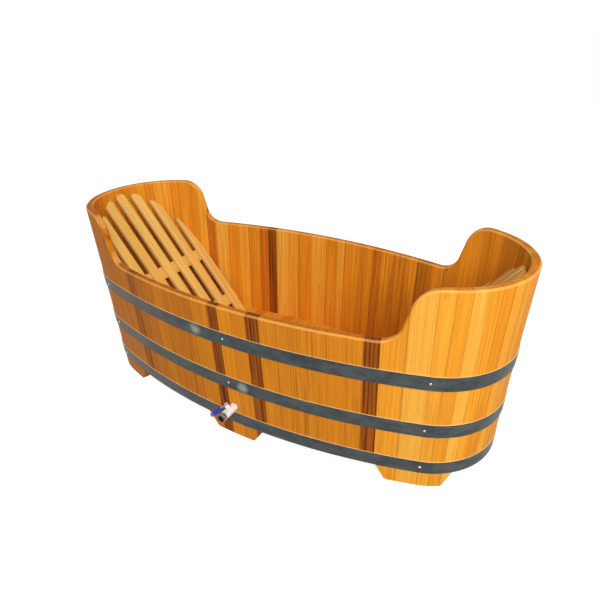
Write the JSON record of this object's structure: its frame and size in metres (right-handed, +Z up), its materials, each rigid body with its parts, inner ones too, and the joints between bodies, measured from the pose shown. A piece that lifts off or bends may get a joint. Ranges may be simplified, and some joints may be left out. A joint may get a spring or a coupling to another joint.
{
  "type": "wooden soaking bathtub",
  "caption": "Free-standing oval stave bathtub with raised rounded ends, steel hoops, feet, loose slatted backrests and a drain ball valve with an outlet for a hose.",
  "frame": {"origin": "on the floor under the middle of the whole object's box, valve lever included", "axes": "+X along the tub to the right as seen from the valve's side, +Y away from the valve's side, +Z up"},
  "size_m": [1.8994, 0.8905, 0.8],
  "materials": {
    "stave_wood": "oiled, satin",
    "floor_wood": "oiled, satin",
    "backrest_wood": "planed, satin",
    "hoop_steel": "dark grey-blue, half matte",
    "stainless_screws": "bright",
    "nickel": "nickel plate",
    "polished_chrome": "polished",
    "lever_steel": "zinc plate",
    "sleeve_plastic": "blue, dipped",
    "rubber": "black, matte",
    "seal_plastic": "white"
  },
  "bodies": {
    "tub": {"adaptor_washer": "rubber", "back_staves_1": "stave_wood", "back_staves_2": "stave_wood", "back_staves_3": "stave_wood", "back_staves_4": "stave_wood", "back_staves_5": "stave_wood", "back_staves_6": "stave_wood", "bottom_hoop": "hoop_steel", "drain_inner_washer": "rubber", "drain_lock_nut": "nickel", "drain_outer_washer": "rubber", "drain_pipe": "nickel", "drain_strainer": "nickel", "floor_bearer_screws": "stainless_screws", "floor_bearers": "floor_wood", "front_staves_1": "stave_wood", "front_staves_2": "stave_wood", "front_staves_3": "stave_wood", "front_staves_4": "stave_wood", "front_staves_5": "stave_wood", "hoop_rivets": "hoop_steel", "hoop_screws": "stainless_screws", "left_end_staves_1": "stave_wood", "left_end_staves_2": "stave_wood", "left_end_staves_3": "stave_wood", "left_end_staves_4": "stave_wood", "left_floor_boards": "floor_wood", "middle_floor_boards": "floor_wood", "middle_hoop": "hoop_steel", "outlet_adaptor": "polished_chrome", "right_end_staves_1": "stave_wood", "right_end_staves_2": "stave_wood", "right_end_staves_3": "stave_wood", "right_end_staves_4": "stave_wood", "right_floor_boards": "floor_wood", "top_hoop": "hoop_steel", "valve_body": "nickel", "valve_end_piece": "nickel", "valve_gland_nut": "nickel", "valve_seats": "seal_plastic", "valve_stem_packing": "seal_plastic"},
    "left_backrest": {"left_backrest_lower_batten": "backrest_wood", "left_backrest_screws": "stainless_screws", "left_backrest_slats": "backrest_wood", "left_backrest_upper_batten": "backrest_wood"},
    "right_backrest": {"right_backrest_lower_batten": "backrest_wood", "right_backrest_screws": "stainless_screws", "right_backrest_slats": "backrest_wood", "right_backrest_upper_batten": "backrest_wood"},
    "valve_handle": {"lever_nut": "lever_steel", "lever_sleeve": "sleeve_plastic", "valve_ball": "polished_chrome", "valve_lever": "lever_steel", "valve_stem": "nickel"}
  },
  "joints": [
    {"name": "left_backrest_lift", "type": "slide", "parent": "tub", "child": "left_backrest", "axis": [0, 0, 1], "range_m": [0, 0.7]},
    {"name": "right_backrest_lift", "type": "slide", "parent": "tub", "child": "right_backrest", "axis": [0, 0, 1], "range_m": [0, 0.7]},
    {"name": "valve_turn", "type": "hinge", "parent": "tub", "child": "valve_handle", "pos_m": [0.012, -0.3654, 0.152], "axis": [0.5, 0, -0.866], "range_deg": [0, 90]}
  ]
}
